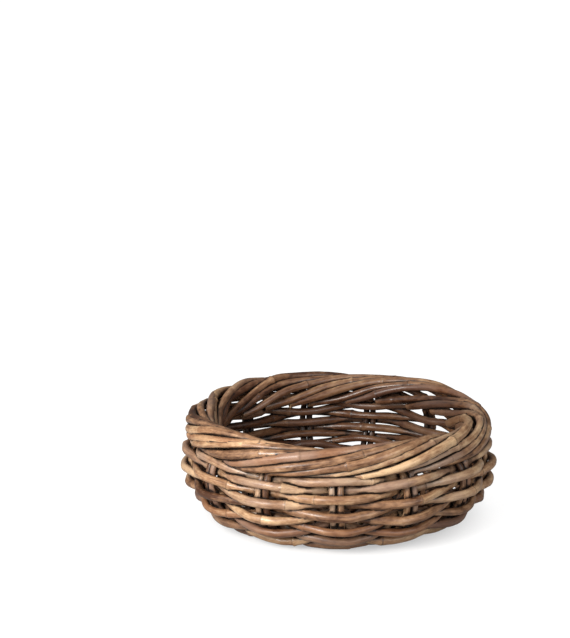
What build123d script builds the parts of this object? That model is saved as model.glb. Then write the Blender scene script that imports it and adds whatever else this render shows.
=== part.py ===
# Round woven cane basket mould: a flat woven base, a bulging wall woven round thirteen pairs of
# stakes, and a thick rolled border made by turning the stakes down over one another.
# Millimetres, +Z up, origin on the ground under the centre. Bearings are in degrees, anticlockwise
# seen from above. The front of the basket is at -Y, where stake pair 1 stands.
from build123d import *

import math
import os

# ---- Driving dimensions -------------------------------------------------------------------------
PAIRS = 13                # stake pairs, and arms of the base cross: an odd count lets one weaver
                          # pass in front of and behind every pair in turn, round after round
STAKE_R = 3.9             # stakes and base sticks
WEAVER_R = 4.2            # rods woven round the wall
BASE_WEAVER_R = 3.2       # thinner rods woven through the base
CLEARANCE = 0.6           # left between crossing rods, whose runs cut inside their corners

BULGE_R = 177.0           # the stakes' line where the wall is widest
WALL_ARC_R = 52.5         # the wall's section is one arc of this radius
WALL_START_DEG = -90.0    # the weaving starts here on that arc, where it leaves the base
WALL_END_DEG = 24.7       # and stops here, under the border
SIDE_TURNS = 12           # rounds of weaving in the wall
SIDE_PLATEAU = 1.5        # how much of a rod's run lies flat against a pair, over 1
SIDE_SAG = 5.5            # the lowest rounds belly out this much between pairs
SAG_END_DEG = -20.0       # no longer from here up on the arc
LEVEL_DEG = 8.5           # the upper rounds climb this much faster past the front, most of all the
LEVEL_TURN = 0.16         # last one, over this part of a turn, so that the weaving ends level

BORDER_R = 166.0          # centre line of the rolled border
BORDER_SECTION_R = 14.6   # border strands lie on a circle of this radius round that line
BORDER_LIFT = 99.3        # that line above the base
BORDER_START_DEG = -112.0 # a left stake joins the circle here, underneath: 0 is outside, 90 on top
BORDER_END_DEG = 212.0    # where every strand ends, low on the inside
BORDER_RATE = 2.6         # degrees round the circle for each degree round the basket

PAIR_OFFSET = 4.5         # each stake's distance from the middle of its pair, on the wall
FOOT_SPREAD = 2.3         # more at the foot of the wall
FOOT_SPREAD_END_DEG = -55.0   # no longer from here up on the arc
STICK_SPACING = 8.8       # between the three sticks of each group where they cross
CROWN = 6.0               # how far the middle of the base stands above its edge

SIDE_ROD_STEPS = (14, 12, 14, 12, 12, 14, 12, 14, 12, 14, 12, 14)  # pairs passed by each wall rod
BASE_ROD_STEPS = (32, 26, 22, 18, 16, 16)                          # arms passed by each base rod
SIDE_BENDS = (0, 0.18, 0.5, 0.82)         # where a wall rod bends between one pair and the next
BASE_BENDS = (0, 0.26, 0.5, 0.74)         # where a base rod bends between one arm and the next
END_GAP = 0.015                           # a rod stops this part of a step before the next one

# ---- Worked out from them -----------------------------------------------------------------------
PITCH_DEG = 360.0 / PAIRS
SIDE_AMPLITUDE = STAKE_R + WEAVER_R + CLEARANCE
BASE_AMPLITUDE = STAKE_R + BASE_WEAVER_R + CLEARANCE
BASE_Z = SIDE_AMPLITUDE + WEAVER_R            # lowest wall weavers touch the ground
WALL_CENTRE_R = BULGE_R - WALL_ARC_R
WALL_CENTRE_Z = BASE_Z + WALL_ARC_R
BORDER_Z = BASE_Z + BORDER_LIFT
STRAND_LEAD_DEG = BORDER_RATE * PITCH_DEG / 2  # a right strand lies this far ahead of its left one
GROUP_OFFSET = 2 * STAKE_R + 0.3              # a stake's foot beside its base stick
STICK_END_R = WALL_CENTRE_R - 12              # the base sticks end short of the wall
STAKE_IN_R = STICK_END_R - 18                 # where a stake's foot is pushed into the base
SPREAD_FROM_R, SPREAD_TO_R = 30.0, 66.0       # the arms fan out evenly between these radii
BASE_WEAVE_R = 50.0                           # first round that passes single arms
BASE_WEAVE_END_R = WALL_CENTRE_R - WEAVER_R - BASE_WEAVER_R - 0.7
BASE_PITCH = (BASE_WEAVE_END_R - BASE_WEAVE_R) * PAIRS / sum(BASE_ROD_STEPS)
BINDING_R = 23.6                              # first round that binds the crossed groups
BINDING_PITCH = 2.1 * BASE_WEAVER_R
BINDING_TURNS = 2.5
BINDING_BENDS = 24                            # bends in each round of it
CROSS_LIFT = STAKE_R + 0.1                    # each group of sticks above or below the middle
CROSS_FLAT_R, CROSS_END_R = 14.0, 46.0        # the groups come level between these radii

FRONT_DEG = -90.0
CROSS_AXIS_DEG = FRONT_DEG - PITCH_DEG / 2    # the upper sticks point this way, between two arms
# For each group: its direction, the arms its three sticks reach at that end and at the far end.
LOWER_GROUP = (CROSS_AXIS_DEG + 90, (2, 3, 4), (10, 9, 8))
UPPER_GROUP = (CROSS_AXIS_DEG, (11, 12, 1), (7, 6, 5))
SHORT_STICK_ARM = 0                           # the odd arm: a stick that starts beside the cross
SHORT_STICK_LEAN_DEG = 9.0                    # its start, off the upper group's direction
STICK_BENDS = (32, 40, 48, 57, 70, 90, STICK_END_R)         # radii where a long stick may bend
SHORT_STICK_BENDS = (45, 52, 60, 72, 90, STICK_END_R)

WALL_BENDS_DEG = tuple(range(-82, 9, 15))     # where a stake bends as it follows the wall
WALL_BEND_OUT = WALL_ARC_R * (1 / math.cos(math.radians(7.5)) - 1)    # so that its runs touch the arc
TOP_BENDS_DEG = (17.0, 26.5)                  # its last bends there: then the left stake of a pair
TOP_BEND_OUT = WALL_BEND_OUT / 2              # leans inwards and turns to pass behind the right one
STRAND_STEP_DEG = 7.5                         # travel between the bends of a border strand
LAST_RUN_DEG = 8.0                            # its last run is at least this far round the circle
LEFT_SHIFT_DEG, RIGHT_SHIFT_DEG = -9.0, -3.0  # where a strand begins, off its even place


def polar(radius, bearing_deg, z, lateral=0.0):
    """A point at a radius and bearing, shifted sideways, anticlockwise, by lateral."""
    a = math.radians(bearing_deg)
    x = radius * math.cos(a) - lateral * math.sin(a)
    y = radius * math.sin(a) + lateral * math.cos(a)
    return Vector(x, y, z)


def ease(value, start, end):
    """0 before start, 1 after end, and a smooth rise between."""
    t = min(1.0, max(0.0, (value - start) / (end - start)))
    return t * t * (3 - 2 * t)


def rod(points, radius):
    """A round rod along straight runs joined by tangent arcs, each as large as its runs allow."""
    bends = []
    for before, here, after in zip(points, points[1:], points[2:]):
        half_turn = math.radians((here - before).get_angle(after - here)) / 2
        shorter = min((here - before).length, (after - here).length)
        bends.append(0.45 * shorter / math.tan(half_turn))
    path = FilletPolyline(*points, radius=bends)
    return sweep(Plane(origin=path @ 0, z_dir=path % 0) * Circle(radius), path=path)


def weave(steps, plateau):
    """In front (+1) at even steps and behind (-1) at odd ones, flattened where plateau is over 1."""
    return math.sin(math.pi / 2 * max(-1.0, min(1.0, plateau * math.cos(math.pi * steps))))


# ---- Base ---------------------------------------------------------------------------------------
def base_z(radius):
    """Height of the base's middle surface, which is slightly domed."""
    return BASE_Z + CROWN * (1 - ease(radius, 0, WALL_CENTRE_R))


def signed_deg(angle):
    """The same angle between -180 and 180."""
    return (angle + 180) % 360 - 180


def arm_starts():
    """Bearing of each arm where it leaves the crossed groups, by arm number."""
    starts = {SHORT_STICK_ARM: CROSS_AXIS_DEG + SHORT_STICK_LEAN_DEG}
    fan = math.degrees(math.asin(STICK_SPACING / SPREAD_FROM_R))
    for direction, near, far in (LOWER_GROUP, UPPER_GROUP):
        for place, (near_arm, far_arm) in enumerate(zip(near, far)):
            starts[near_arm] = direction + (place - 1) * fan
            starts[far_arm] = direction + 180 - (place - 1) * fan
    return starts


ARM_STARTS = arm_starts()


def arm_deg(arm, radius):
    """Bearing of an arm at a radius: crowded near the cross, evenly spaced further out."""
    turns, arm = divmod(arm, PAIRS)
    even = FRONT_DEG + arm * PITCH_DEG
    crowding = 1 - ease(radius, SPREAD_FROM_R, SPREAD_TO_R)
    return even + signed_deg(ARM_STARTS[arm] - even) * crowding + 360 * turns


def cross_lift(radius):
    """How far a stick lies from the middle surface because of the crossing at the centre."""
    return CROSS_LIFT * (1 - ease(radius, CROSS_FLAT_R, CROSS_END_R))


def arm_points(arm, side, radii):
    """Bends of a stick along one arm: side is +1 for the upper group and -1 for the lower one."""
    return [polar(r, arm_deg(arm, r), base_z(r) + side * cross_lift(r)) for r in radii]


def long_stick(group, place, side):
    """One of a group's three sticks, from an arm on the far side, across the middle, to a near one."""
    direction, near, far = group
    lateral = (place - 1) * STICK_SPACING
    middle = [polar(r, direction, base_z(0) + side * CROSS_LIFT, lateral) for r in (-15, 15)]
    far_half = arm_points(far[place], side, STICK_BENDS)
    near_half = arm_points(near[place], side, STICK_BENDS)
    return rod(far_half[::-1] + middle + near_half, STAKE_R)


def base_sticks():
    """Six sticks in two crossed groups of three, and one short stick that makes the arms odd."""
    sticks = {}
    for group, side, name in ((LOWER_GROUP, -1, "lower"), (UPPER_GROUP, 1, "upper")):
        for place in range(3):
            sticks[f"base_stick_{name}_{place + 1}"] = long_stick(group, place, side)
    sticks["base_stick_short"] = rod(arm_points(SHORT_STICK_ARM, 0, SHORT_STICK_BENDS), STAKE_R)
    return sticks


def binding_rod():
    """The first rod of the base: over the lower group and under the upper one, round after round."""
    points = []
    for k in range(int(BINDING_TURNS * BINDING_BENDS) + 1):
        turns = k / BINDING_BENDS
        radius = BINDING_R + BINDING_PITCH * turns
        rise = (BASE_AMPLITUDE - cross_lift(radius)) * weave(4 * turns, 2.0)
        points.append(polar(radius, LOWER_GROUP[0] + 360 * turns, base_z(radius) + rise))
    return rod(points, BASE_WEAVER_R)


def base_weaver_point(steps):
    """A base weaver's centre after passing that many arms: under, over, under, on a flat spiral."""
    radius = BASE_WEAVE_R + BASE_PITCH * steps / PAIRS
    passed = math.floor(steps)
    behind, ahead = arm_deg(passed, radius), arm_deg(passed + 1, radius)
    bearing = behind + (steps - passed) * (ahead - behind)
    plateau = 1.25 + 0.35 * ease(radius, STAKE_IN_R - 8, STAKE_IN_R)
    return polar(radius, bearing, base_z(radius) - BASE_AMPLITUDE * weave(steps, plateau))


def weaver_rods(name, radius, point, counts, bends):
    """Rods laid end to end along a weaver's spiral, each starting behind an arm where one ends."""
    rods = {}
    start = 1
    for number, count in enumerate(counts, 1):
        stops = [step + bend for step in range(start, start + count) for bend in bends][1:]
        stops = [start + END_GAP, *stops, start + count - END_GAP]
        rods[f"{name}_{number:02d}"] = rod([point(steps) for steps in stops], radius)
        start += count
    return rods


def base_weavers():
    """The rods that are woven through the base's arms."""
    return weaver_rods("base_weaver", BASE_WEAVER_R, base_weaver_point, BASE_ROD_STEPS, BASE_BENDS)


# ---- Wall ---------------------------------------------------------------------------------------
def wall_point(bearing_deg, arc_deg, out=0.0, lateral=0.0):
    """A point on the wall's arc, moved outwards along its normal by out and sideways by lateral."""
    a = math.radians(arc_deg)
    reach = WALL_ARC_R + out
    radius = WALL_CENTRE_R + reach * math.cos(a)
    return polar(radius, bearing_deg, WALL_CENTRE_Z + reach * math.sin(a), lateral)


def side_weaver_point(steps):
    """A wall weaver's centre after passing that many pairs, on a spiral that climbs the wall."""
    climbed = steps / (PAIRS * SIDE_TURNS)
    turn = steps / PAIRS % 1 if climbed < 1 else 0
    level = LEVEL_DEG * (1 - turn) * ease(turn, 0, LEVEL_TURN) * climbed ** 2
    arc = WALL_START_DEG + (WALL_END_DEG - WALL_START_DEG) * climbed + level
    swing = max(-1.0, min(1.0, SIDE_PLATEAU * (2 * abs(steps % 2 - 1) - 1)))
    sag = SIDE_SAG * (1 - abs(swing)) * (1 - ease(arc, WALL_START_DEG, SAG_END_DEG))
    return wall_point(FRONT_DEG + PITCH_DEG * steps, arc, SIDE_AMPLITUDE * swing + sag)


def side_weavers():
    """The rods that are woven round the stakes from the base to the border."""
    return weaver_rods("side_weaver", WEAVER_R, side_weaver_point, SIDE_ROD_STEPS, SIDE_BENDS)


# ---- Stakes and border --------------------------------------------------------------------------
def border_point(bearing_deg, section_deg):
    """A point on the circle round the border's centre line: 0 is outside, 90 the crest."""
    a = math.radians(section_deg)
    radius = BORDER_R + BORDER_SECTION_R * math.cos(a)
    return polar(radius, bearing_deg, BORDER_Z + BORDER_SECTION_R * math.sin(a))


def stake_foot(bearing, side):
    """The bends of a stake from its foot, beside a base stick, up the wall to the border."""
    points = [polar(r, bearing, base_z(r), side * GROUP_OFFSET) for r in (STAKE_IN_R, STAKE_IN_R + 17)]
    for arc in WALL_BENDS_DEG:
        apart = PAIR_OFFSET + FOOT_SPREAD * (1 - ease(arc, WALL_START_DEG, FOOT_SPREAD_END_DEG))
        points.append(wall_point(bearing, arc, WALL_BEND_OUT, side * apart))
    for arc in TOP_BENDS_DEG:
        points.append(wall_point(bearing, arc, TOP_BEND_OUT, side * PAIR_OFFSET))
    return points


def border_strand(bearing, travel, section_deg, shift_deg):
    """The bends of a stake from where it turns down to the right until it ends inside the border."""
    points = [border_point(bearing + travel, section_deg + shift_deg)]
    while section_deg < BORDER_END_DEG - BORDER_RATE * STRAND_STEP_DEG - LAST_RUN_DEG:
        travel += STRAND_STEP_DEG
        section_deg += BORDER_RATE * STRAND_STEP_DEG
        points.append(border_point(bearing + travel, section_deg))
    travel += (BORDER_END_DEG - section_deg) / BORDER_RATE
    points.append(border_point(bearing + travel, BORDER_END_DEG))
    return points


def stake(pair, side):
    """One stake of a pair, side being -1 for the left and 1 for the right: it stands in the wall,
    turns to the right under the border, comes out past the next pairs and runs over the crest."""
    bearing = FRONT_DEG + PITCH_DEG * pair
    travel = side * math.degrees(PAIR_OFFSET / BULGE_R)
    lead, shift = (0, LEFT_SHIFT_DEG) if side < 0 else (STRAND_LEAD_DEG, RIGHT_SHIFT_DEG)
    section = BORDER_START_DEG + lead + BORDER_RATE * travel
    return rod(stake_foot(bearing, side) + border_strand(bearing, travel, section, shift), STAKE_R)


def stakes():
    """The stakes, two to a pair: one each side of every arm of the base."""
    made = {}
    for pair in range(PAIRS):
        for side, name in ((-1, "left"), (1, "right")):
            made[f"stake_{pair + 1:02d}_{name}"] = stake(pair, side)
    return made


def main():
    """Builds every rod and writes one STEP file for each."""
    os.makedirs("parts", exist_ok=True)
    parts = {"base_binding_rod": binding_rod()}
    for group in (base_sticks(), base_weavers(), side_weavers(), stakes()):
        parts.update(group)
    for name, shape in parts.items():
        export_step(shape, f"parts/{name}.step")
        print(name, round(shape.volume), "valid" if shape.is_valid else "INVALID")


if __name__ == "__main__":
    main()
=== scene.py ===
"""Dresses the round woven cane basket.

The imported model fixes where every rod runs. Here each rod is woven again as a real cane: uneven
in thickness, with joints, cut ends and a mottled skin, on the same line as its CAD node, which it
stands for. Metres, +Z up, origin on the ground under the centre, front at -Y.
"""

import logging
import math
from dataclasses import dataclass, field
from enum import Enum
from typing import Callable

import bpy
import numpy as np
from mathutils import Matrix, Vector, noise


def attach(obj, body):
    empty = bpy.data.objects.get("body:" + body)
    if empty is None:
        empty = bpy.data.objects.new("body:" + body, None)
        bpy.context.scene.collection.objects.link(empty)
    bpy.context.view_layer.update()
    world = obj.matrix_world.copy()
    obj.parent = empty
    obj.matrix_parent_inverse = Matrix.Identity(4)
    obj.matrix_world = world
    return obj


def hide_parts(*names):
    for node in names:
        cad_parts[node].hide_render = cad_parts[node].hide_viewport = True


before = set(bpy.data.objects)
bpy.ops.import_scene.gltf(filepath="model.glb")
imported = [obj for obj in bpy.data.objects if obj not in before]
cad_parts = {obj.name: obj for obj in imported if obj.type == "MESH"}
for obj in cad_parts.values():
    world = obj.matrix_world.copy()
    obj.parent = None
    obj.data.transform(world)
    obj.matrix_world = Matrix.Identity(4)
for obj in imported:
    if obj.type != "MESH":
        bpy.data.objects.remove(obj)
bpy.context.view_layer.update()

logging.basicConfig(level=logging.INFO, format="%(message)s")
log = logging.getLogger("basket")

Socket = bpy.types.NodeSocket
Tree = bpy.types.NodeTree
Material = bpy.types.Material
Object = bpy.types.Object

BODY = "root"
FRONT_DEG = -90.0


class Slot(Enum):
    """The record's material slots."""

    STAKE = "stake_cane"
    WEAVER = "weaver_cane"
    BASE = "base_cane"


class Side(Enum):
    """Which stake of a pair, seen from outside."""

    LEFT = -1
    RIGHT = 1


# ---- Geometry helpers ---------------------------------------------------------------------------
def polar(radius: float, bearing_deg: float, z: float, lateral: float = 0.0) -> Vector:
    """A point at a radius and bearing, shifted sideways, anticlockwise seen from above.

    Args:
        radius: Distance from the basket's axis.
        bearing_deg: Direction from the axis.
        z: Height.
        lateral: Shift at right angles to the bearing.

    Returns:
        The point.
    """
    a = math.radians(bearing_deg)
    x = radius * math.cos(a) - lateral * math.sin(a)
    y = radius * math.sin(a) + lateral * math.cos(a)
    return Vector((x, y, z))


def ease(value: float, start: float, end: float) -> float:
    """0 before start, 1 after end, and a smooth rise between."""
    t = min(1.0, max(0.0, (value - start) / (end - start)))
    return t * t * (3 - 2 * t)


def weave(steps: float, plateau: float) -> float:
    """In front (+1) at even steps and behind (-1) at odd ones, flattened where plateau is over 1."""
    return math.sin(math.pi / 2 * max(-1.0, min(1.0, plateau * math.cos(math.pi * steps))))


def chance(*keys: float) -> float:
    """A fixed number between 0 and 1 that looks random, one for each set of keys."""
    total = sum(key * factor for key, factor in zip(keys, (12.9898, 78.233, 37.719, 4.581)))
    return math.sin(total) * 43758.5453 % 1.0


def add_object(name: str, data: bpy.types.ID) -> Object:
    """A new object that holds the data, linked to the scene."""
    made = bpy.data.objects.new(name, data)
    bpy.context.scene.collection.objects.link(made)
    return made


def rows(items: bpy.types.bpy_prop_collection, name: str) -> np.ndarray:
    """A vector property of all the items, one row each."""
    values = np.empty(len(items) * 3, np.float32)
    items.foreach_get(name, values)
    return values.reshape(-1, 3)


@dataclass(frozen=True)
class Hand:
    """How far hand work strays from the plan: a slow drift, a quicker one, and each rod's own."""

    seed: int = 1
    drift: float = 0.0030
    drift_wave: float = 0.150
    waver: float = 0.0016
    waver_wave: float = 0.060
    own: float = 0.0011
    own_wave: float = 0.045

    def stray(self, point: Vector, rod_seed: int) -> Vector:
        """The point as the maker's hand left it.

        Args:
            point: Where the plan has it.
            rod_seed: Number of the rod, which has its own small wobble.

        Returns:
            The moved point.
        """
        away = noise.noise_vector(point / self.drift_wave) * self.drift
        away += noise.noise_vector(point / self.waver_wave + Vector((7.1, 3.3, 9.7))) * self.waver
        away += noise.noise_vector(point / self.own_wave + Vector((rod_seed * 5.3, 0, 0))) * self.own
        return point + away


@dataclass
class Rod:
    """One cane before it gets its body: the line that it follows and how it grows.

    Args:
        node: The CAD node that it stands for.
        slot: The material slot.
        line: Points of its centre line.
        radii: Its radius at each of them.
        seed: Its number, which picks its joints and its colour.
        knot_spacing: Distance from one joint of the cane to the next.
    """

    node: str
    slot: Slot
    line: list[Vector]
    radii: list[float]
    seed: int
    knot_spacing: float = 0.13


# ---- Node wiring --------------------------------------------------------------------------------
class Wiring:
    """Adds nodes to one node tree and links them."""

    def __init__(self, tree: Tree) -> None:
        """Starts on an empty tree."""
        self.tree = tree

    def put(self, socket: Socket, value: object) -> None:
        """Links a socket to another node's output, or sets its own value."""
        if isinstance(value, Socket):
            self.tree.links.new(value, socket)
        elif value is not None:
            socket.default_value = value

    def add(self, kind: str, inputs: dict[str, object] | None = None, **settings: object) -> bpy.types.Node:
        """Adds a node.

        Args:
            kind: Blender's name for the node type.
            inputs: Values or links by input name; the first enabled socket of that name takes it.
            settings: The node's own properties.

        Returns:
            The node.
        """
        node = self.tree.nodes.new(kind)
        for name, value in settings.items():
            setattr(node, name, value)
        for name, value in (inputs or {}).items():
            socket = next(s for s in node.inputs if s.name == name and s.enabled)
            self.put(socket, value)
        return node

    def math(self, operation: str, a: object, b: object = None, clamp: bool = False) -> Socket:
        """One Math node's result."""
        node = self.tree.nodes.new("ShaderNodeMath")
        node.operation = operation
        node.use_clamp = clamp
        self.put(node.inputs[0], a)
        self.put(node.inputs[1], b)
        return node.outputs[0]

    def times(self, a: object, b: object) -> Socket:
        """The product of two numbers."""
        return self.math("MULTIPLY", a, b)

    def plus(self, a: object, b: object, clamp: bool = False) -> Socket:
        """The sum of two numbers."""
        return self.math("ADD", a, b, clamp)

    def vector(self, operation: str, a: object, b: object = None, scale: object = None) -> Socket:
        """One Vector Math node's result."""
        node = self.tree.nodes.new("ShaderNodeVectorMath")
        node.operation = operation
        self.put(node.inputs[0], a)
        self.put(node.inputs[1], b)
        if scale is not None:
            self.put(node.inputs["Scale"], scale)
        return node.outputs["Value"] if operation in ("LENGTH", "DOT_PRODUCT") else node.outputs[0]

    def combine(self, x: object, y: object, z: object) -> Socket:
        """A vector from three numbers."""
        return self.add("ShaderNodeCombineXYZ", {"X": x, "Y": y, "Z": z}).outputs[0]

    def remap(self, value: object, low: float, high: float, to_low: float = 0.0,
              to_high: float = 1.0) -> Socket:
        """A value moved from one range to another, smoothly, and kept inside it."""
        inputs = {"Value": value, "From Min": low, "From Max": high, "To Min": to_low, "To Max": to_high}
        node = self.add("ShaderNodeMapRange", inputs, interpolation_type="SMOOTHSTEP")
        return node.outputs["Result"]

    def noise(self, place: object, scale: object, detail: float = 2.0, roughness: float = 0.5) -> Socket:
        """A noise texture's value, between 0 and 1."""
        inputs = {"Vector": place, "Scale": scale, "Detail": detail, "Roughness": roughness}
        return self.add("ShaderNodeTexNoise", inputs).outputs[0]

    def mix(self, share: object, a: object, b: object, blend: str = "MIX") -> Socket:
        """Two colours mixed."""
        node = self.tree.nodes.new("ShaderNodeMix")
        node.data_type = "RGBA"
        node.blend_type = blend
        self.put(node.inputs[0], share)
        self.put(node.inputs[6], a)
        self.put(node.inputs[7], b)
        return node.outputs[2]

    def attribute(self, name: str, output: str = "Fac") -> Socket:
        """What a mesh attribute says at the spot that is shaded."""
        return self.add("ShaderNodeAttribute", attribute_name=name).outputs[output]

    def parts(self, vector: Socket) -> dict[str, Socket]:
        """A vector's three numbers, named X, Y and Z."""
        return self.add("ShaderNodeSeparateXYZ", {"Vector": vector}).outputs


# ---- The cane's body ----------------------------------------------------------------------------
@dataclass
class CaneTree:
    """The Geometry Nodes tree that turns a line into a cane: skin, joints, uneven width, cut ends."""

    ring: float = 0.0016
    sides: int = 16
    knot_swell: float = 0.00045
    knot_width: float = 0.0042
    step_share: float = 0.075
    uneven_share: float = 0.10
    relief: float = 0.00028
    slant: float = 0.0016
    skin_corners: float = 4.5
    worn_length: float = 0.012
    tree: Tree = field(init=False)
    sockets: dict[str, str] = field(init=False, default_factory=dict)

    def __post_init__(self) -> None:
        """Builds the tree once."""
        self.tree = bpy.data.node_groups.new("cane_rod", "GeometryNodeTree")
        self.build()

    def name_input(self, name: str, kind: str, value: object) -> None:
        """Adds a named input to the tree and keeps its identifier."""
        socket = self.tree.interface.new_socket(name, in_out="INPUT", socket_type=kind)
        if value is not None:
            socket.default_value = value
        self.sockets[name] = socket.identifier

    def build(self) -> None:
        """Wires the tree."""
        inputs = (("Line", "Geometry", None), ("Ring Length", "Float", self.ring),
                  ("Sides", "Int", self.sides), ("Knot Spacing", "Float", 0.13),
                  ("Knot Swell", "Float", self.knot_swell),
                  ("Relief", "Float", self.relief), ("End Slant", "Float", self.slant), ("Seed", "Int", 0),
                  ("Skin", "Material", None), ("Cut", "Material", None))
        for name, kind, value in inputs:
            self.name_input(name, "NodeSocket" + kind, value)
        self.tree.interface.new_socket("Cane", in_out="OUTPUT", socket_type="NodeSocketGeometry")
        w = Wiring(self.tree)
        given = w.add("NodeGroupInput").outputs
        seed, spacing = given["Seed"], given["Knot Spacing"]
        line = w.add("GeometryNodeResampleCurve", {"Curve": given["Line"], "Length": given["Ring Length"]},
                     mode="LENGTH").outputs[0]

        # Where a point is along the cane, and which joint-to-joint length of it that is.
        along = w.add("GeometryNodeSplineParameter").outputs["Length"]
        total = w.add("GeometryNodeSplineLength").outputs["Length"]
        start = w.times(w.math("FRACT", w.times(seed, 0.618)), spacing)
        shifted = w.plus(along, start)
        warp = w.noise(w.combine(w.times(shifted, 9.0), seed, 0.0), 1.0)
        warped = w.math("DIVIDE", w.plus(shifted, w.times(warp, 0.06)), spacing)
        number = w.math("FLOOR", warped)
        inside = w.math("FRACT", warped)
        apart = w.times(w.math("MINIMUM", inside, w.math("SUBTRACT", 1.0, inside)), spacing)
        falloff = w.math("POWER", w.math("DIVIDE", apart, self.knot_width), 2.0)
        knot = w.math("EXPONENT", w.times(falloff, -1.0))
        tone = w.add("FunctionNodeRandomValue", {"ID": number, "Seed": seed}, data_type="FLOAT").outputs[1]
        girth_seed = w.plus(seed, 77.0)
        girth = w.add("FunctionNodeRandomValue", {"Min": -1.0, "Max": 1.0, "ID": number, "Seed": girth_seed},
                      data_type="FLOAT").outputs[1]
        wander = w.math("SUBTRACT", w.noise(w.combine(w.times(along, 18.0), seed, 5.0), 1.0), 0.5)

        # The radius: what the line carries, with the growth of the cane on it.
        radius = w.add("GeometryNodeInputRadius").outputs[0]
        share = w.plus(1.0, w.times(girth, self.step_share))
        share = w.plus(share, w.times(wander, 2 * self.uneven_share))
        swell = w.times(given["Knot Swell"], w.remap(tone, 0.35, 1.0, 0.5, 2.6))
        grown = w.plus(w.times(radius, share), w.times(knot, swell))

        keep = w.add("GeometryNodeCaptureAttribute", {"Geometry": line})
        left = w.math("SUBTRACT", total, along)
        names = (("along", along), ("knot", knot), ("tone", tone), ("grown", grown), ("left", left))
        for name, _ in names:
            keep.capture_items.new("FLOAT", name)
        for name, value in names:
            w.put(keep.inputs[name], value)
        held = keep.outputs
        tangents = w.add("GeometryNodeCaptureAttribute", {"Geometry": held["Geometry"]})
        tangents.capture_items.new("VECTOR", "tangent")
        w.put(tangents.inputs["tangent"], w.add("GeometryNodeInputTangent").outputs[0])

        # Round section, whose corners remember their angle.
        circle = w.add("GeometryNodeCurvePrimitiveCircle",
                       {"Resolution": given["Sides"], "Radius": 1.0}).outputs[0]
        corner = w.add("GeometryNodeInputIndex").outputs[0]
        angle = w.math("DIVIDE", w.times(corner, math.tau), given["Sides"])
        turned = w.add("GeometryNodeCaptureAttribute", {"Geometry": circle})
        turned.capture_items.new("VECTOR", "round")
        w.put(turned.inputs["round"], w.combine(w.math("COSINE", angle), w.math("SINE", angle), 0.0))
        tube = w.add("GeometryNodeCurveToMesh", {
            "Curve": tangents.outputs["Geometry"], "Profile Curve": turned.outputs["Geometry"],
            "Scale": held["grown"], "Fill Caps": True}).outputs[0]

        # Cut ends are slanted a little, each its own way.
        nearest = w.math("MINIMUM", held["along"], held["left"])
        at_end = w.math("LESS_THAN", nearest, w.times(given["Ring Length"], 0.5))
        toward = w.times(seed, 2.4)
        lean = w.combine(w.math("SINE", toward), w.math("COSINE", toward), 0.0)
        slope = w.times(w.vector("DOT_PRODUCT", turned.outputs["round"], lean), given["End Slant"])
        slant = w.vector("SCALE", tangents.outputs["tangent"], scale=slope)
        tube = w.add("GeometryNodeSetPosition",
                     {"Geometry": tube, "Selection": at_end, "Offset": slant}).outputs[0]

        # A place on the skin as if the cane were straight, shifted so that no two canes match.
        flat = w.vector("SCALE", turned.outputs["round"], scale=held["grown"])
        shift = w.combine(0.0, w.times(seed, 0.11),
                          w.plus(held["along"], w.times(seed, 0.37)))
        place = w.vector("ADD", flat, shift)
        stretched = w.vector("MULTIPLY", place, (1.0, 1.0, 0.35))
        dents = w.math("SUBTRACT", w.noise(stretched, 240.0, 2.0), 0.5)
        push = w.vector("SCALE", w.add("GeometryNodeInputNormal").outputs[0],
                        scale=w.times(dents, w.times(given["Relief"], 2.0)))
        tube = w.add("GeometryNodeSetPosition", {"Geometry": tube, "Offset": push}).outputs[0]

        corners = w.add("GeometryNodeInputMeshFaceNeighbors").outputs["Vertex Count"]
        cap = w.math("GREATER_THAN", corners, self.skin_corners)
        skin = w.math("LESS_THAN", corners, self.skin_corners)
        tube = w.add("GeometryNodeSetShadeSmooth", {"Geometry": tube, "Shade Smooth": skin}).outputs[0]
        near_end = w.remap(nearest, 0.0, self.worn_length, 1.0, 0.0)
        stored = (("cane_place", "FLOAT_VECTOR", place),
                  ("cane_growth", "FLOAT_VECTOR", w.combine(held["tone"], held["knot"], near_end)))
        for name, kind, value in stored:
            inputs = {"Geometry": tube, "Name": name, "Value": value}
            tube = w.add("GeometryNodeStoreNamedAttribute", inputs, data_type=kind).outputs[0]
        real = w.add("GeometryNodeRealizeInstances", {"Geometry": tube}).outputs[0]
        skinned = w.add("GeometryNodeSetMaterial", {"Geometry": real, "Material": given["Skin"]}).outputs[0]
        inputs = {"Geometry": skinned, "Selection": cap, "Material": given["Cut"]}
        cut = w.add("GeometryNodeSetMaterial", inputs).outputs[0]
        w.add("NodeGroupOutput", {"Cane": cut})

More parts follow.
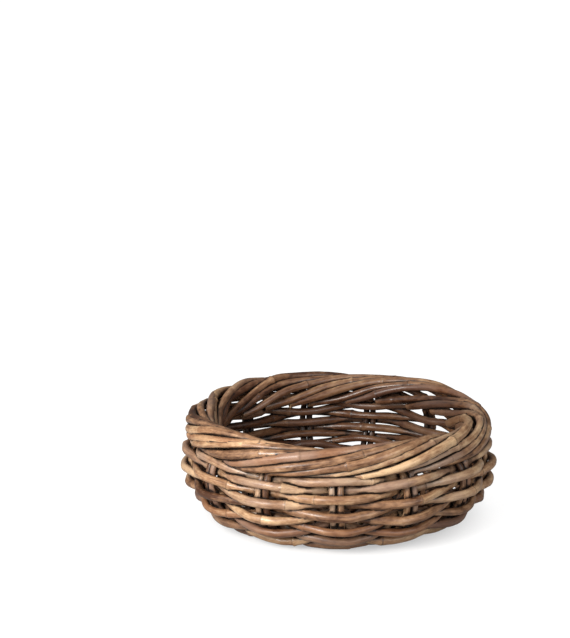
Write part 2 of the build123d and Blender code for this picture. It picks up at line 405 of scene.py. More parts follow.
    def grow(self, rod: Rod, skin: Material, cut: Material) -> Object:
        """Makes one cane along its line.

        Args:
            rod: The line and how the cane grows.
            skin: Finish of its skin.
            cut: Finish of its two cut ends.

        Returns:
            The cane, a plain mesh with its place in its vertices.
        """
        curve = bpy.data.curves.new(rod.node + "_line", "CURVE")
        curve.dimensions = "3D"
        spline = curve.splines.new("NURBS")
        spline.points.add(len(rod.line) - 1)
        for point, here, radius in zip(spline.points, rod.line, rod.radii):
            point.co = (*here, 1.0)
            point.radius = radius
        spline.order_u = 4
        spline.use_endpoint_u = True
        spline.resolution_u = 6
        carrier = add_object(rod.node + "_line", curve)
        modifier = carrier.modifiers.new("cane", "NODES")
        modifier.node_group = self.tree
        settings = {"Knot Spacing": rod.knot_spacing, "Seed": rod.seed, "Skin": skin, "Cut": cut,
                    "Ring Length": self.ring * 1}
        for name, value in settings.items():
            modifier[self.sockets[name]] = value
        bpy.context.view_layer.update()
        evaluated = carrier.evaluated_get(bpy.context.evaluated_depsgraph_get())
        mesh = bpy.data.meshes.new_from_object(evaluated)
        mesh.name = rod.node + "_cane"
        bpy.data.objects.remove(carrier)
        bpy.data.curves.remove(curve)
        return add_object(rod.node + "_cane", mesh)


@dataclass(frozen=True)
class CoverTree:
    """Measures how deep in the weave each spot of skin lies, with a few short rays from it; the skin finishes
    paint shade from it.
    """

    reach: float = 0.014
    tilt: float = 1.1
    start_height: float = 0.0002

    def build(self) -> Tree:
        """The tree, which stores the attribute cane_cover: 0 in the open, 1 right against a neighbour."""
        tree = bpy.data.node_groups.new("cane_cover", "GeometryNodeTree")
        tree.interface.new_socket("Canes", in_out="INPUT", socket_type="NodeSocketGeometry")
        tree.interface.new_socket("Canes", in_out="OUTPUT", socket_type="NodeSocketGeometry")
        w = Wiring(tree)
        canes = w.add("NodeGroupInput").outputs[0]
        normal = w.add("GeometryNodeInputNormal").outputs[0]
        across = w.vector("NORMALIZE", w.vector("CROSS_PRODUCT", normal, (0.31, 0.17, 0.94)))
        other = w.vector("CROSS_PRODUCT", normal, across)
        off_skin = w.vector("SCALE", normal, scale=self.start_height)
        start = w.vector("ADD", w.add("GeometryNodeInputPosition").outputs[0], off_skin)
        total: object = 0.0
        rays = (None, (across, self.tilt), (across, -self.tilt), (other, self.tilt), (other, -self.tilt))
        for ray in rays:
            way = normal if ray is None else w.vector("ADD", normal, w.vector("SCALE", ray[0], scale=ray[1]))
            cast = w.add("GeometryNodeRaycast", {"Target Geometry": canes, "Source Position": start,
                                                 "Ray Direction": way, "Ray Length": self.reach})
            near = w.math("SUBTRACT", 1.0, w.math("DIVIDE", cast.outputs["Hit Distance"], self.reach))
            total = w.plus(total, w.times(near, cast.outputs["Is Hit"]))
        cover = w.math("DIVIDE", total, float(len(rays)))
        inputs = {"Geometry": canes, "Name": "cane_cover", "Value": cover}
        kept = w.add("GeometryNodeStoreNamedAttribute", inputs, data_type="FLOAT")
        w.add("NodeGroupOutput", {"Canes": kept.outputs[0]})
        return tree

    def measure(self, canes: list[Object]) -> None:
        """Stores cane_cover on every cane, measured on all of them together.

        Args:
            canes: The finished canes.
        """
        places = []
        faces = []
        first = 0
        for cane in canes:
            places.append(rows(cane.data.vertices, "co"))
            faces += [[first + v for v in polygon.vertices] for polygon in cane.data.polygons]
            first += len(cane.data.vertices)
        mesh = bpy.data.meshes.new("all_canes")
        mesh.from_pydata(np.concatenate(places), [], faces)
        together = add_object("all_canes", mesh)
        modifier = together.modifiers.new("cover", "NODES")
        modifier.node_group = self.build()
        evaluated = together.evaluated_get(bpy.context.evaluated_depsgraph_get())
        cover = np.empty(first, np.float32)
        evaluated.data.attributes["cane_cover"].data.foreach_get("value", cover)
        bpy.data.objects.remove(together)
        bpy.data.meshes.remove(mesh)
        first = 0
        for cane in canes:
            count = len(cane.data.vertices)
            attribute = cane.data.attributes.new("cane_cover", "FLOAT", "POINT")
            attribute.data.foreach_set("value", cover[first:first + count])
            first += count


# ---- Finishes -----------------------------------------------------------------------------------
def linear(red: int, green: int, blue: int) -> tuple[float, float, float, float]:
    """A display colour, 0 to 255 a channel, as scene colour."""
    parts = [c / 255 / 12.92 if c <= 10 else ((c / 255 + 0.055) / 1.055) ** 2.4 for c in (red, green, blue)]
    return (*parts, 1.0)


def new_material(name: str) -> tuple[Material, Wiring]:
    """An empty material and the wiring of its shader."""
    material = bpy.data.materials.new(name)
    material.use_nodes = True
    material.node_tree.nodes.clear()
    return material, Wiring(material.node_tree)


class SharedEffects:
    """Shader node groups that the cane finishes share. They put out masks and heights."""

    def __init__(self) -> None:
        """Builds each group once."""
        self.grain = self.build_grain()
        self.mottle = self.build_mottle()

    @staticmethod
    def start(name: str, inputs: tuple[tuple[str, str, object], ...],
              outputs: tuple[str, ...]) -> tuple[Tree, Wiring]:
        """A new shader group with its sockets."""
        tree = bpy.data.node_groups.new(name, "ShaderNodeTree")
        for socket_name, kind, value in inputs:
            socket = tree.interface.new_socket(socket_name, in_out="INPUT", socket_type=kind)
            if value is not None:
                socket.default_value = value
        for socket_name in outputs:
            tree.interface.new_socket(socket_name, in_out="OUTPUT", socket_type="NodeSocketFloat")
        return tree, Wiring(tree)

    def build_grain(self) -> Tree:
        """Fine fibres that run along the cane, and small pores."""
        tree, w = self.start("cane_grain", (("Place", "NodeSocketVector", None),
                                            ("Fibre Scale", "NodeSocketFloat", 1500.0),
                                            ("Stretch", "NodeSocketFloat", 0.035)),
                             ("Fibre", "Pores", "Height"))
        given = w.add("NodeGroupInput").outputs
        along = w.vector("MULTIPLY", given["Place"], w.combine(1.0, 1.0, given["Stretch"]))
        fibre = w.noise(along, given["Fibre Scale"], 3.0, 0.6)
        coarse = w.noise(along, w.times(given["Fibre Scale"], 0.33), 2.0, 0.5)
        specks = w.noise(w.vector("MULTIPLY", given["Place"], (1.0, 1.0, 0.4)), 900.0, 2.0, 0.6)
        pores = w.remap(specks, 0.62, 0.72)
        both = w.plus(w.times(fibre, 0.5), w.times(coarse, 0.5))
        height = w.math("SUBTRACT", both, w.times(pores, 0.35))
        w.add("NodeGroupOutput", {"Fibre": both, "Pores": pores, "Height": height})
        return tree

    def build_mottle(self) -> Tree:
        """Cloudy stains at three sizes, longer than they are wide."""
        tree, w = self.start("cane_mottle", (("Place", "NodeSocketVector", None),
                                             ("Cloud Scale", "NodeSocketFloat", 60.0)),
                             ("Cloud", "Patch", "Stain"))
        given = w.add("NodeGroupInput").outputs
        place, scale = given["Place"], given["Cloud Scale"]
        cloud = w.noise(w.vector("MULTIPLY", place, (1.0, 1.0, 0.45)), scale, 4.0, 0.55)
        patch = w.noise(w.vector("MULTIPLY", place, (1.0, 1.0, 0.5)), w.times(scale, 3.3), 3.0, 0.6)
        stain = w.noise(w.vector("MULTIPLY", place, (0.5, 0.5, 1.0)), w.times(scale, 0.28), 2.0, 0.5)
        w.add("NodeGroupOutput", {"Cloud": cloud, "Patch": patch, "Stain": stain})
        return tree


@dataclass(frozen=True)
class CaneFinish:
    """Skin of unpeeled cane, from its dark stains to its rubbed highlights, with painted shade deep in the
    weave and in the hollow.
    """

    name: str
    dark: tuple[int, int, int] = (74, 43, 24)
    middle: tuple[int, int, int] = (166, 124, 90)
    light: tuple[int, int, int] = (228, 190, 146)
    ruddy: tuple[int, int, int] = (160, 104, 68)
    greyed: tuple[int, int, int] = (156, 130, 116)
    # Dark for the knot rings, and for the painted shade deep in the weave.
    joint_and_shade_dark: tuple[int, int, int] = (26, 12, 6)
    # Tint multiplied in as painted shade where the skin faces the hollow, and near the ground.
    shade_tint: tuple[int, int, int] = (120, 82, 58)
    lift: float = 0.0
    shade_tint_share: float = 0.75
    roughness: float = 0.42
    gloss: float = 0.45

    def build(self, effects: SharedEffects) -> Material:
        """The material.

        Args:
            effects: The shared shader groups.

        Returns:
            The material, with its Principled shader in it.
        """
        material, w = new_material(self.name)
        place = w.attribute("cane_place", "Vector")
        growth = w.parts(w.attribute("cane_growth", "Vector"))
        cover = w.attribute("cane_cover")
        own = w.parts(w.attribute("cane_own", "Vector"))
        grain = w.add("ShaderNodeGroup", node_tree=effects.grain)
        mottle = w.add("ShaderNodeGroup", node_tree=effects.mottle)
        w.put(grain.inputs["Place"], place)
        w.put(mottle.inputs["Place"], place)
        fibres, stains = grain.outputs, mottle.outputs

        shares = ((stains["Cloud"], 1.0), (stains["Stain"], 0.50), (growth["X"], 0.34),
                  (own["X"], 0.36), (fibres["Fibre"], 0.85), (stains["Patch"], 0.80))
        shade: object = 0.5 + self.lift
        for value, share in shares:
            shade = w.plus(shade, w.times(w.math("SUBTRACT", value, 0.5), share))
        ramp = w.add("ShaderNodeValToRGB", {"Fac": shade})
        stops = ramp.color_ramp.elements
        stops[0].position, stops[0].color = 0.12, linear(*self.dark)
        stops[1].position, stops[1].color = 0.86, linear(*self.light)
        middle = stops.new(0.50)
        middle.color = linear(*self.middle)
        colour = ramp.outputs["Color"]
        colour = w.mix(w.remap(own["Y"], 0.55, 1.0, 0.0, 0.42), colour, linear(*self.ruddy))
        stained = w.remap(stains["Stain"], 0.35, 0.6)
        greying = w.times(w.remap(own["Z"], 0.45, 1.0, 0.0, 0.6), stained)
        colour = w.mix(greying, colour, linear(*self.greyed))
        ring = w.remap(growth["Y"], 0.90, 1.0)
        ringed = w.times(ring, w.remap(growth["X"], 0.2, 0.9, 0.1, 0.6))
        colour = w.mix(ringed, colour, linear(*self.joint_and_shade_dark))
        colour = w.mix(w.times(fibres["Pores"], 0.35), colour, linear(*self.dark))
        colour = w.mix(w.remap(growth["Z"], 0.0, 1.0, 0.0, 0.35), colour, linear(*self.light))
        # Painted shade: skin facing the hollow below the rim is multiplied darker, and so is skin near the
        # ground, darker towards the bottom.
        inside = w.attribute("cane_painted_shade")
        colour = w.mix(w.times(inside, self.shade_tint_share), colour, linear(*self.shade_tint), "MULTIPLY")
        # Painted shade: skin that lies deep between neighbouring canes (high cane_cover) goes towards
        # near-black.
        colour = w.mix(w.remap(cover, 0.07, 0.46, 0.0, 0.96), colour, linear(*self.joint_and_shade_dark))

        patchy = w.times(w.math("SUBTRACT", stains["Patch"], 0.5), 0.5)
        rough = w.plus(self.roughness, patchy)
        rough = w.plus(rough, w.times(cover, 0.25), clamp=True)
        gloss = w.times(w.remap(stains["Cloud"], 0.42, 0.62, 0.15, 1.0), self.gloss)
        bump = w.add("ShaderNodeBump", {"Strength": 0.35, "Distance": 0.0004, "Height": fibres["Height"]})
        shader = w.add("ShaderNodeBsdfPrincipled", {
            "Base Color": colour, "Roughness": rough, "Coat Weight": gloss, "Coat Roughness": 0.18,
            "IOR": 1.5, "Normal": bump.outputs[0]})
        w.add("ShaderNodeOutputMaterial", {"Surface": shader.outputs[0]})
        return material


@dataclass(frozen=True)
class CutFinish:
    """The pale pith of a cut end, with its pores."""

    name: str
    pith: tuple[int, int, int] = (205, 172, 132)
    pore: tuple[int, int, int] = (118, 84, 56)

    def build(self) -> Material:
        """The material."""
        material, w = new_material(self.name)
        place = w.add("ShaderNodeTexCoord").outputs["Object"]
        cells = w.add("ShaderNodeTexVoronoi", {"Vector": place, "Scale": 1700.0}).outputs["Distance"]
        pores = w.remap(cells, 0.12, 0.30, 1.0, 0.0)
        cloud = w.noise(place, 350.0, 2.0)
        colour = w.mix(w.remap(cloud, 0.3, 0.7, 0.0, 0.5), linear(*self.pith), linear(*self.pore))
        colour = w.mix(w.times(pores, 0.7), colour, linear(*self.pore))
        bump = w.add("ShaderNodeBump", {"Strength": 0.5, "Distance": 0.0004, "Height": cells})
        rough = w.remap(cloud, 0.3, 0.7, 0.7, 0.9)
        shader = w.add("ShaderNodeBsdfPrincipled",
                       {"Base Color": colour, "Roughness": rough, "Normal": bump.outputs[0]})
        w.add("ShaderNodeOutputMaterial", {"Surface": shader.outputs[0]})
        return material


# ---- The basket's plan --------------------------------------------------------------------------
@dataclass(frozen=True)
class Plan:
    """Sizes of the basket, as the CAD rods have them."""

    pairs: int = 13
    stake_r: float = 0.0039
    weaver_r: float = 0.0042
    base_weaver_r: float = 0.0032
    clearance: float = 0.0006
    bulge_r: float = 0.177
    wall_arc_r: float = 0.0525
    wall_start_deg: float = -90.0
    wall_end_deg: float = 27.5
    side_turns: int = 12
    crown: float = 0.006

    @property
    def pitch_deg(self) -> float:
        """Bearing from one stake pair to the next."""
        return 360.0 / self.pairs

    @property
    def base_z(self) -> float:
        """Height of the base's middle surface at its edge."""
        return self.stake_r + 2 * self.weaver_r + self.clearance

    @property
    def wall_centre_r(self) -> float:
        """Radius of the wall arc's centre."""
        return self.bulge_r - self.wall_arc_r

    def base_height(self, radius: float) -> float:
        """Height of the base's middle surface, which is slightly domed."""
        return self.base_z + self.crown * (1 - ease(radius, 0, self.wall_centre_r))

    def wall_point(self, bearing_deg: float, arc_deg: float, out: float = 0.0,
                   lateral: float = 0.0) -> Vector:
        """A point on the wall's arc.

        Args:
            bearing_deg: Direction from the basket's axis.
            arc_deg: Angle on the arc: -90 at the base, 0 at the bulge.
            out: Distance from the arc, outwards.
            lateral: Shift sideways.

        Returns:
            The point.
        """
        a = math.radians(arc_deg)
        reach = self.wall_arc_r + out
        radius = self.wall_centre_r + reach * math.cos(a)
        z = self.base_z + self.wall_arc_r + reach * math.sin(a)
        return polar(radius, bearing_deg, z, lateral)


@dataclass
class SubAssembly:
    """What the parts of the basket share: the plan, the maker's hand and the numbering of rods."""

    plan: Plan
    hand: Hand
    first_seed: int

    def rod(self, node: str, slot: Slot, points: list[Vector], radius: Callable[[float], float],
            number: int) -> Rod:
        """A rod along some points.

        Args:
            node: CAD node that it stands for.
            slot: Material slot.
            points: Centre line by the plan.
            radius: Radius by share of the way along, 0 to 1.
            number: Which rod of this sub-assembly it is.

        Returns:
            The rod, strayed as by hand.
        """
        seed = self.first_seed + number
        last = len(points) - 1
        line = [self.hand.stray(point, seed) for point in points]
        radii = [radius(index / last) for index in range(len(points))]
        for place, thickness in zip(line, radii):
            place.z = max(place.z, 1.25 * thickness)
        return Rod(node, slot, line, radii, seed, 0.10 + 0.07 * chance(seed, 3))


@dataclass
class SideWeave(SubAssembly):
    """The rods woven round the wall, laid end to end along one climbing spiral."""

    rod_steps: tuple[int, ...] = (14, 12, 14, 12, 12, 14, 12, 14, 12, 14, 12, 14)
    plateau: float = 1.4
    sag: float = 0.0080
    sag_end_deg: float = -20.0
    level_deg: float = 8.5
    overlap: float = 0.07
    tuck: float = 0.0078
    tuck_steps: float = 0.55
    samples: int = 12

    def centre(self, steps: float) -> Vector:
        """A weaver's centre after passing that many pairs."""
        plan = self.plan
        amplitude = plan.stake_r + plan.weaver_r + plan.clearance
        climbed = steps / (plan.pairs * plan.side_turns)
        turn = steps / plan.pairs % 1.0 if climbed < 1 else 0.0
        level = self.level_deg * (1 - turn) * ease(turn, 0.0, 0.16) * climbed ** 2
        arc = plan.wall_start_deg + (plan.wall_end_deg - plan.wall_start_deg) * climbed + level
        swing = max(-1.0, min(1.0, self.plateau * (2 * abs(steps % 2 - 1) - 1)))
        belly = self.sag * (1 - abs(swing)) * (1 - ease(arc, plan.wall_start_deg, self.sag_end_deg))
        return plan.wall_point(FRONT_DEG + plan.pitch_deg * steps, arc, amplitude * swing + belly)

    def line(self, start: float, end: float) -> list[Vector]:
        """The centre line between two places, its end tucked to the inside past the next rod."""
        count = int((end - start) * self.samples)
        points = []
        for k in range(count + 1):
            steps = start + (end - start) * k / count
            point = self.centre(steps)
            inward = Vector((-point.x, -point.y, 0)).normalized()
            points.append(point + inward * self.tuck * ease(steps, end - self.tuck_steps, end))
        return points

    def rods(self) -> list[Rod]:
        """All the wall rods, lowest first."""
        made = []
        start = 1
        for number, count in enumerate(self.rod_steps, 1):
            base = 0.00465 * (0.95 + 0.11 * chance(number, 11)) + 0.0001 * max(0, number - 8)
            taper = 0.14 * (chance(number, 5) - 0.5)
            points = self.line(start - self.overlap, start + count + self.overlap)
            made.append(self.rod(f"side_weaver_{number:02d}", Slot.WEAVER, points,
                                 lambda t, b=base, s=taper: b * (1 + s * (t - 0.5)), number))
            start += count
        return made


@dataclass
class Stakes(SubAssembly):
    """The stakes, in pairs, which turn down over one another to make the rolled border."""

    border_r: float = 0.166
    section_r: float = 0.0139
    border_lift: float = 0.0975
    start_deg: float = -112.0
    end_deg: float = 236.0
    droop: float = 0.0062
    rate: float = 2.6
    left_shift_deg: float = -9.0
    right_shift_deg: float = -3.0
    settle_deg: float = 9.0
    sway_deg: float = 26.0
    sway_wave_deg: float = 34.0
    heave: float = 0.0026
    hop: float = 0.0034
    hop_deg: float = 15.0
    pair_offset: float = 0.0045
    foot_from: float = 0.0945
    foot_offset: float = 0.0081
    top_deg: tuple[int, ...] = (6, 16, 26)
    travel_step: float = 5.0

    def border_point(self, bearing_deg: float, section_deg: float, number: int) -> Vector:
        """A point of one strand near the circle round the border's centre line.

        Args:
            bearing_deg: Direction from the basket's axis.
            section_deg: Angle on the circle: 0 is outside, 90 the crest.
            number: The strand's number, which picks how it sways off its place.

        Returns:
            The point.
        """
        key = Vector((bearing_deg / self.sway_wave_deg, number * 3.7, 0.0))
        a = math.radians(section_deg + self.sway_deg * noise.noise(key))
        uneven = noise.noise(key + Vector((0, 0, 8.3))) + chance(number, 31) - 0.5
        reach = self.section_r + self.heave * uneven
        reach += self.droop * ease(section_deg, 150.0, 215.0)
        loose = max(0.0, noise.noise(Vector((bearing_deg / self.hop_deg, number * 9.1, 4.4))))
        reach += self.hop * loose * (number % 2)
        return polar(self.border_r + reach * math.cos(a), bearing_deg,
                     self.plan.base_z + self.border_lift + reach * math.sin(a))

    def line(self, pair: int, side: Side) -> list[Vector]:
        """The centre line of one stake, from its foot to its cut end inside the border."""
        plan = self.plan
        s = side.value
        bearing = FRONT_DEG + plan.pitch_deg * pair
        points = [polar(r, bearing, plan.base_height(r), s * self.foot_offset)
                  for r in (self.foot_from, self.foot_from + 0.009, self.foot_from + 0.018)]
        for arc in (*range(-86, 0, 12), *self.top_deg):
            apart = self.pair_offset + 0.0024 * (1 - ease(arc, -90, -55))
            points.append(plan.wall_point(bearing, arc, 0.0002, s * apart))
        number = 2 * pair + (side is Side.RIGHT)
        if side is Side.LEFT:
            lead, shift = 0.0, self.left_shift_deg
        else:
            lead, shift = self.rate * plan.pitch_deg / 2, self.right_shift_deg
        first = travel = s * math.degrees(self.pair_offset / plan.bulge_r)
        section = self.start_deg + lead + self.rate * travel
        end = self.end_deg + 34.0 * chance(number, 2) - 10.0
        while section < end:
            off = shift * (1 - ease(travel, first, first + self.settle_deg))
            points.append(self.border_point(bearing + travel, section + off, number))
            travel += self.travel_step
            section += self.rate * self.travel_step
        return points

    def girth(self, number: int) -> Callable[[float], float]:
        """A stake's radius by share of the way along: plain in the wall, stouter where it rolls over."""
        thick = 1.15 + 0.28 * chance(number, 8) ** 1.3
        return lambda t: self.plan.stake_r * (1 + (thick - 1) * ease(t, 0.36, 0.60))

    def rods(self) -> list[Rod]:
        """All the stakes, left then right of each pair."""
        made = []
        for pair in range(self.plan.pairs):
            for side in Side:
                number = 2 * pair + (side is Side.RIGHT)
                made.append(self.rod(f"stake_{pair + 1:02d}_{side.name.lower()}", Slot.STAKE,
                                     self.line(pair, side), self.girth(number), number))
        return made


@dataclass
class Base(SubAssembly):
    """The flat base: crossed sticks, the rod that binds them, and the rods woven through the arms."""

    stick_spacing: float = 0.0088
    spread_from: float = 0.030
    spread_to: float = 0.066
    weave_r: float = 0.050
    rod_steps: tuple[int, ...] = (32, 26, 22, 18, 16, 16)
    binding_r: float = 0.0236
    binding_turns: float = 2.5
    short_lean_deg: float = 9.0
    starts: dict[int, float] = field(init=False)

    def __post_init__(self) -> None:
        """Works out where each arm leaves the cross."""
        axis = FRONT_DEG - self.plan.pitch_deg / 2
        self.lower = (axis + 90, (2, 3, 4), (10, 9, 8))
        self.upper = (axis, (11, 12, 1), (7, 6, 5))
        self.starts = {0: axis + self.short_lean_deg}
        fan = math.degrees(math.asin(self.stick_spacing / self.spread_from))
        for direction, near, far in (self.lower, self.upper):
            for place in range(3):
                self.starts[near[place]] = direction + (place - 1) * fan
                self.starts[far[place]] = direction + 180 - (place - 1) * fan

    @property
    def stick_end(self) -> float:
        """Radius where the base sticks end."""
        return self.plan.wall_centre_r - 0.012

    def arm_deg(self, arm: int, radius: float) -> float:
        """Bearing of an arm at a radius: crowded near the cross, evenly spaced further out."""
        turns, arm = divmod(arm, self.plan.pairs)
        even = FRONT_DEG + arm * self.plan.pitch_deg
        crowding = (self.starts[arm] - even + 180) % 360 - 180
        return even + crowding * (1 - ease(radius, self.spread_from, self.spread_to)) + 360 * turns

    def lift(self, radius: float) -> float:
        """How far a stick lies from the middle surface because of the crossing."""
        return (self.plan.stake_r + 0.0001) * (1 - ease(radius, 0.014, 0.046))

    def arm(self, arm: int, side: int, start: float) -> list[Vector]:
        """Points of a stick along one arm, from the cross outwards."""
        count = 9
        radii = [start + (self.stick_end - start) * k / count for k in range(count + 1)]
        return [polar(r, self.arm_deg(arm, r), self.plan.base_height(r) + side * self.lift(r)) for r in radii]

    def stick(self, name: str, points: list[Vector], number: int) -> Rod:
        """One base stick, equally thick all along."""
        return self.rod(f"base_stick_{name}", Slot.BASE, points, lambda t: self.plan.stake_r, number)

    def sticks(self) -> list[Rod]:
        """Six crossed sticks and the short one."""
        made = []
        number = 0
        for group, side, name in ((self.lower, -1, "lower"), (self.upper, 1, "upper")):
            direction, near, far = group
            for place in range(3):
                height = self.plan.base_height(0) + side * self.lift(0)
                across = (place - 1) * self.stick_spacing
                middle = [polar(r, direction, height, across) for r in (-0.015, 0.0, 0.015)]
                points = self.arm(far[place], side, 0.032)[::-1] + middle + self.arm(near[place], side, 0.032)
                made.append(self.stick(f"{name}_{place + 1}", points, number))
                number += 1
        made.append(self.stick("short", self.arm(0, 0, 0.045), number))
        return made

    def binding(self) -> Rod:
        """The rod that goes over the lower group and under the upper one, round after round."""
        plan = self.plan
        amplitude = plan.stake_r + plan.base_weaver_r + plan.clearance
        points = []
        bends = 36
        for k in range(int(self.binding_turns * bends) + 1):
            turns = k / bends
            radius = self.binding_r + 2.1 * plan.base_weaver_r * turns
            rise = (amplitude - self.lift(radius)) * weave(4 * turns, 1.9)
            points.append(polar(radius, self.lower[0] + 360 * turns, plan.base_height(radius) + rise))
        return self.rod("base_binding_rod", Slot.BASE, points, lambda t: plan.base_weaver_r, 20)

    def centre(self, steps: float) -> Vector:
        """A base weaver's centre after passing that many arms."""
        plan = self.plan
        end = plan.wall_centre_r - plan.weaver_r - plan.base_weaver_r - 0.0007
        radius = self.weave_r + (end - self.weave_r) * steps / sum(self.rod_steps)
        passed = math.floor(steps)
        behind, ahead = self.arm_deg(passed, radius), self.arm_deg(passed + 1, radius)
        bearing = behind + (steps - passed) * (ahead - behind)
        amplitude = plan.stake_r + plan.base_weaver_r + plan.clearance
        foot = self.stick_end - 0.018
        plateau = 1.2 + 0.35 * ease(radius, foot - 0.008, foot)
        return polar(radius, bearing, plan.base_height(radius) - amplitude * weave(steps, plateau))

    def weavers(self) -> list[Rod]:
        """The thinner rods woven through the arms."""
        made = []
        start = 1
        samples = 8
        for number, count in enumerate(self.rod_steps, 1):
            points = [self.centre(start + k / samples) for k in range(count * samples + 1)]
            points[0] = self.centre(start + 0.015)
            points[-1] = self.centre(start + count - 0.015)
            made.append(self.rod(f"base_weaver_{number:02d}", Slot.BASE, points,
                                 lambda t, n=number: 0.0032 * (0.97 + 0.06 * chance(n, 4)), 20 + number))
            start += count
        return made

    def rods(self) -> list[Rod]:
        """Every rod of the base."""
        return [*self.sticks(), self.binding(), *self.weavers()]


# ---- Studio -------------------------------------------------------------------------------------
@dataclass
class Studio:
    """Pale floor, soft light and the camera."""

    focal_mm: float = 100.0
    sensor_mm: float = 36.0
    distance: float = 1.931
    elevation_deg: float = 17.5
    middle_z: float = 0.065
    aim_left: float = 0.0659
    aim_up: float = 0.1685
    floor_reach: float = 60.0
    floor_glow: float = 0.86
    key_place: tuple[float, float, float] = (-0.60, -0.78, 0.52)
    key_size: float = 0.45
    key_power: float = 11.1
    key_colour: tuple[float, float, float] = (1.0, 0.985, 0.96)
    fill_place: tuple[float, float, float] = (1.2, -1.5, 0.7)
    fill_spread_deg: float = 40.0
    fill_power: float = 0.85
    fill_colour: tuple[float, float, float] = (0.97, 0.98, 1.0)
    light_aim_z: float = 0.06
    sky_toward: tuple[float, float, float] = (-0.45, -0.60, 0.66)
    sky_strengths: tuple[float, float] = (0.10, 0.50)

    def place_camera(self) -> None:
        """Looks at the basket from the front and a little above, with it low and right of the middle."""
        e = math.radians(self.elevation_deg)
        back = Vector((0, -math.cos(e), math.sin(e)))
        up = Vector((0, math.sin(e), math.cos(e)))
        middle = Vector((0, 0, self.middle_z))
        place = middle + back * self.distance
        aim = middle - Vector((self.aim_left, 0, 0)) + up * self.aim_up
        data = bpy.data.cameras.new("camera")
        data.lens = self.focal_mm
        data.sensor_fit = "HORIZONTAL"
        data.sensor_width = self.sensor_mm
        data.clip_end = 2 * self.floor_reach
        camera = add_object("camera", data)
        camera.location = place
        camera.rotation_euler = (aim - place).to_track_quat("-Z", "Y").to_euler()
        bpy.context.scene.camera = camera

    def add_light(self, name: str, kind: str, place: tuple[float, float, float], size: float, strength: float,
                  colour: tuple[float, float, float]) -> None:
        """A soft light that faces the basket.

        Args:
            name: Name of the light.
            kind: AREA for a square panel, SUN for a broad distant light.
            place: Where it stands.
            size: Width of a panel in metres, or of a distant light in degrees.
            strength: Its power.
            colour: Its colour.
        """
        data = bpy.data.lights.new(name, kind)
        if kind == "AREA":
            data.shape = "SQUARE"
            data.size = size
        else:
            data.angle = math.radians(size)
        data.energy = strength
        data.color = colour
        light = add_object(name, data)
        light.location = place
        way = Vector((0, 0, self.light_aim_z)) - Vector(place)
        light.rotation_euler = way.to_track_quat("-Z", "Y").to_euler()

    def paint_floor(self) -> Material:
        """Pale paint: evenly bright to look at, with a faint shadow and a painted contact shadow round the
        basket, but it throws little light back up.
        """
        material, w = new_material("floor_paint")
        seen = w.add("ShaderNodeLightPath").outputs["Is Camera Ray"]
        lit = w.add("ShaderNodeBsdfDiffuse", {"Color": (0.45, 0.45, 0.45, 1.0)}).outputs[0]
        # Painted shadow: the glow is weaker within about 0.2 m of the centre, a soft contact shadow under the
        # basket.
        away = w.vector("LENGTH", w.add("ShaderNodeTexCoord").outputs["Object"])
        strength = w.remap(away, 0.09, 0.20, 0.25, self.floor_glow)
        glow_with_painted_shadow = w.add("ShaderNodeEmission", {"Color": (1.0, 1.0, 1.0, 1.0), "Strength": strength}).outputs[0]
        bright = w.add("ShaderNodeAddShader")
        w.put(bright.inputs[0], lit)
        w.put(bright.inputs[1], glow_with_painted_shadow)
        both = w.add("ShaderNodeMixShader", {"Fac": seen})
        w.put(both.inputs[1], lit)
        w.put(both.inputs[2], bright.outputs[0])
        w.add("ShaderNodeOutputMaterial", {"Surface": both.outputs[0]})
        return material

    def build(self) -> None:
        """Everything around the basket."""
        self.place_camera()
        self.add_light("key_light", "AREA", self.key_place, self.key_size, self.key_power, self.key_colour)
        self.add_light("fill_light", "SUN", self.fill_place, self.fill_spread_deg, self.fill_power,
                       self.fill_colour)
        world = bpy.data.worlds.new("studio")
        world.use_nodes = True
        w = Wiring(world.node_tree)
        way = w.add("ShaderNodeTexCoord").outputs["Generated"]
        toward = w.vector("DOT_PRODUCT", way, self.sky_toward)
        background = world.node_tree.nodes["Background"]
        background.inputs["Color"].default_value = (1.0, 1.0, 1.0, 1.0)
        w.put(background.inputs["Strength"], w.remap(toward, -0.45, 1.0, *self.sky_strengths))
        bpy.context.scene.world = world
        mesh = bpy.data.meshes.new("floor")
        reach = self.floor_reach
        corners = [(-reach, -reach, 0), (reach, -reach, 0), (reach, reach, 0), (-reach, reach, 0)]
        mesh.from_pydata(corners, [], [(0, 1, 2, 3)])
        floor = add_object("floor", mesh)
        mesh.materials.append(self.paint_floor())
        bpy.context.scene.view_settings.view_transform = "Standard"


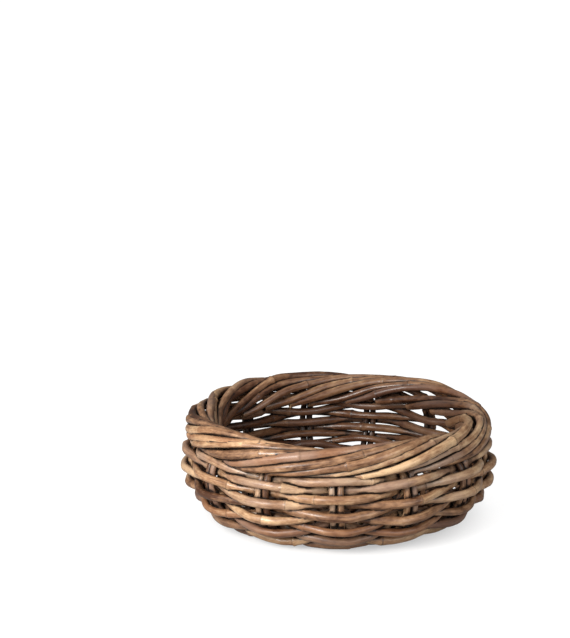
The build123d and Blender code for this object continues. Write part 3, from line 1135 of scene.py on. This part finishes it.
# ---- Assembly -----------------------------------------------------------------------------------
@dataclass
class Basket:
    """The whole basket: its sub-assemblies and their finishes."""

    plan: Plan = field(default_factory=Plan)
    hand: Hand = field(default_factory=Hand)
    # Where the painted shade of the hollow starts and fades, and how it darkens the cane towards the bottom.
    hollow_z: float = 0.085
    open_z: float = 0.140
    open_fade: float = 0.024
    ground_z: float = 0.046
    ground_fade: float = 0.040
    ground_share: float = 0.74

    def finishes(self) -> dict[Slot, Material]:
        """One skin for each material slot."""
        effects = SharedEffects()
        # The stake skin is painted darker than the weaver skin: painted shade on the rolled border, which the
        # stakes make. The base skin is a little darker too, and less glossy.
        looks = {Slot.STAKE: CaneFinish("stake_cane_skin", lift=-0.07),
                 Slot.WEAVER: CaneFinish("weaver_cane_skin"),
                 Slot.BASE: CaneFinish("base_cane_skin", lift=-0.06, gloss=0.2)}
        return {slot: look.build(effects) for slot, look in looks.items()}

    def dress(self, cane: Object, rod: Rod) -> None:
        """Gives a cane its own tone and its painted-shade mask, and ties it to the frame.

        Args:
            cane: The finished mesh.
            rod: The rod that it was grown from.
        """
        own = cane.data.attributes.new("cane_own", "FLOAT_VECTOR", "POINT")
        tone = np.array([chance(rod.seed, 21), chance(rod.seed, 22), chance(rod.seed, 23)], np.float32)
        own.data.foreach_set("vector", np.tile(tone, len(cane.data.vertices)))
        self.paint_shade_mask(cane.data)
        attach(cane, BODY)
        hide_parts(rod.node)
        log.info("%s: %d faces for %s", cane.name, len(cane.data.polygons), rod.node)

    def paint_shade_mask(self, mesh: bpy.types.Mesh) -> None:
        """Stores cane_painted_shade, the mask of painted shade: 1 where the skin faces the hollow, and part
        of that near the ground, darker towards the bottom.
        """
        places = rows(mesh.vertices, "co")
        normals = rows(mesh.vertex_normals, "vector")
        centre = np.array((0.0, 0.0, self.hollow_z), np.float32)
        inward = centre - places
        inward /= np.maximum(np.linalg.norm(inward, axis=1, keepdims=True), 1e-6)
        facing = (normals * inward).sum(axis=1)
        below_crest = np.clip((self.open_z - places[:, 2]) / self.open_fade, 0.0, 1.0)
        near_ground = self.ground_share * np.clip((self.ground_z - places[:, 2]) / self.ground_fade, 0.0, 1.0)
        attribute = mesh.attributes.new("cane_painted_shade", "FLOAT", "POINT")
        painted_shade = np.maximum(np.clip(facing * 1.6 + 0.25, 0.0, 1.0) * below_crest, near_ground)
        attribute.data.foreach_set("value", painted_shade.astype(np.float32))

    def build(self) -> None:
        """Grows every cane and dresses it."""
        noise.seed_set(self.hand.seed)
        skins = self.finishes()
        cut = CutFinish("cut_cane").build()
        tree = CaneTree()
        rods = [*Stakes(self.plan, self.hand, 100).rods(), *SideWeave(self.plan, self.hand, 200).rods(),
                *Base(self.plan, self.hand, 300).rods()]
        canes = [tree.grow(rod, skins[rod.slot], cut) for rod in rods]
        CoverTree().measure(canes)
        for cane, rod in zip(canes, rods):
            self.dress(cane, rod)


def main() -> None:
    """Builds the studio and the basket."""
    Studio().build()
    Basket().build()


if __name__ == "__main__":
    main()
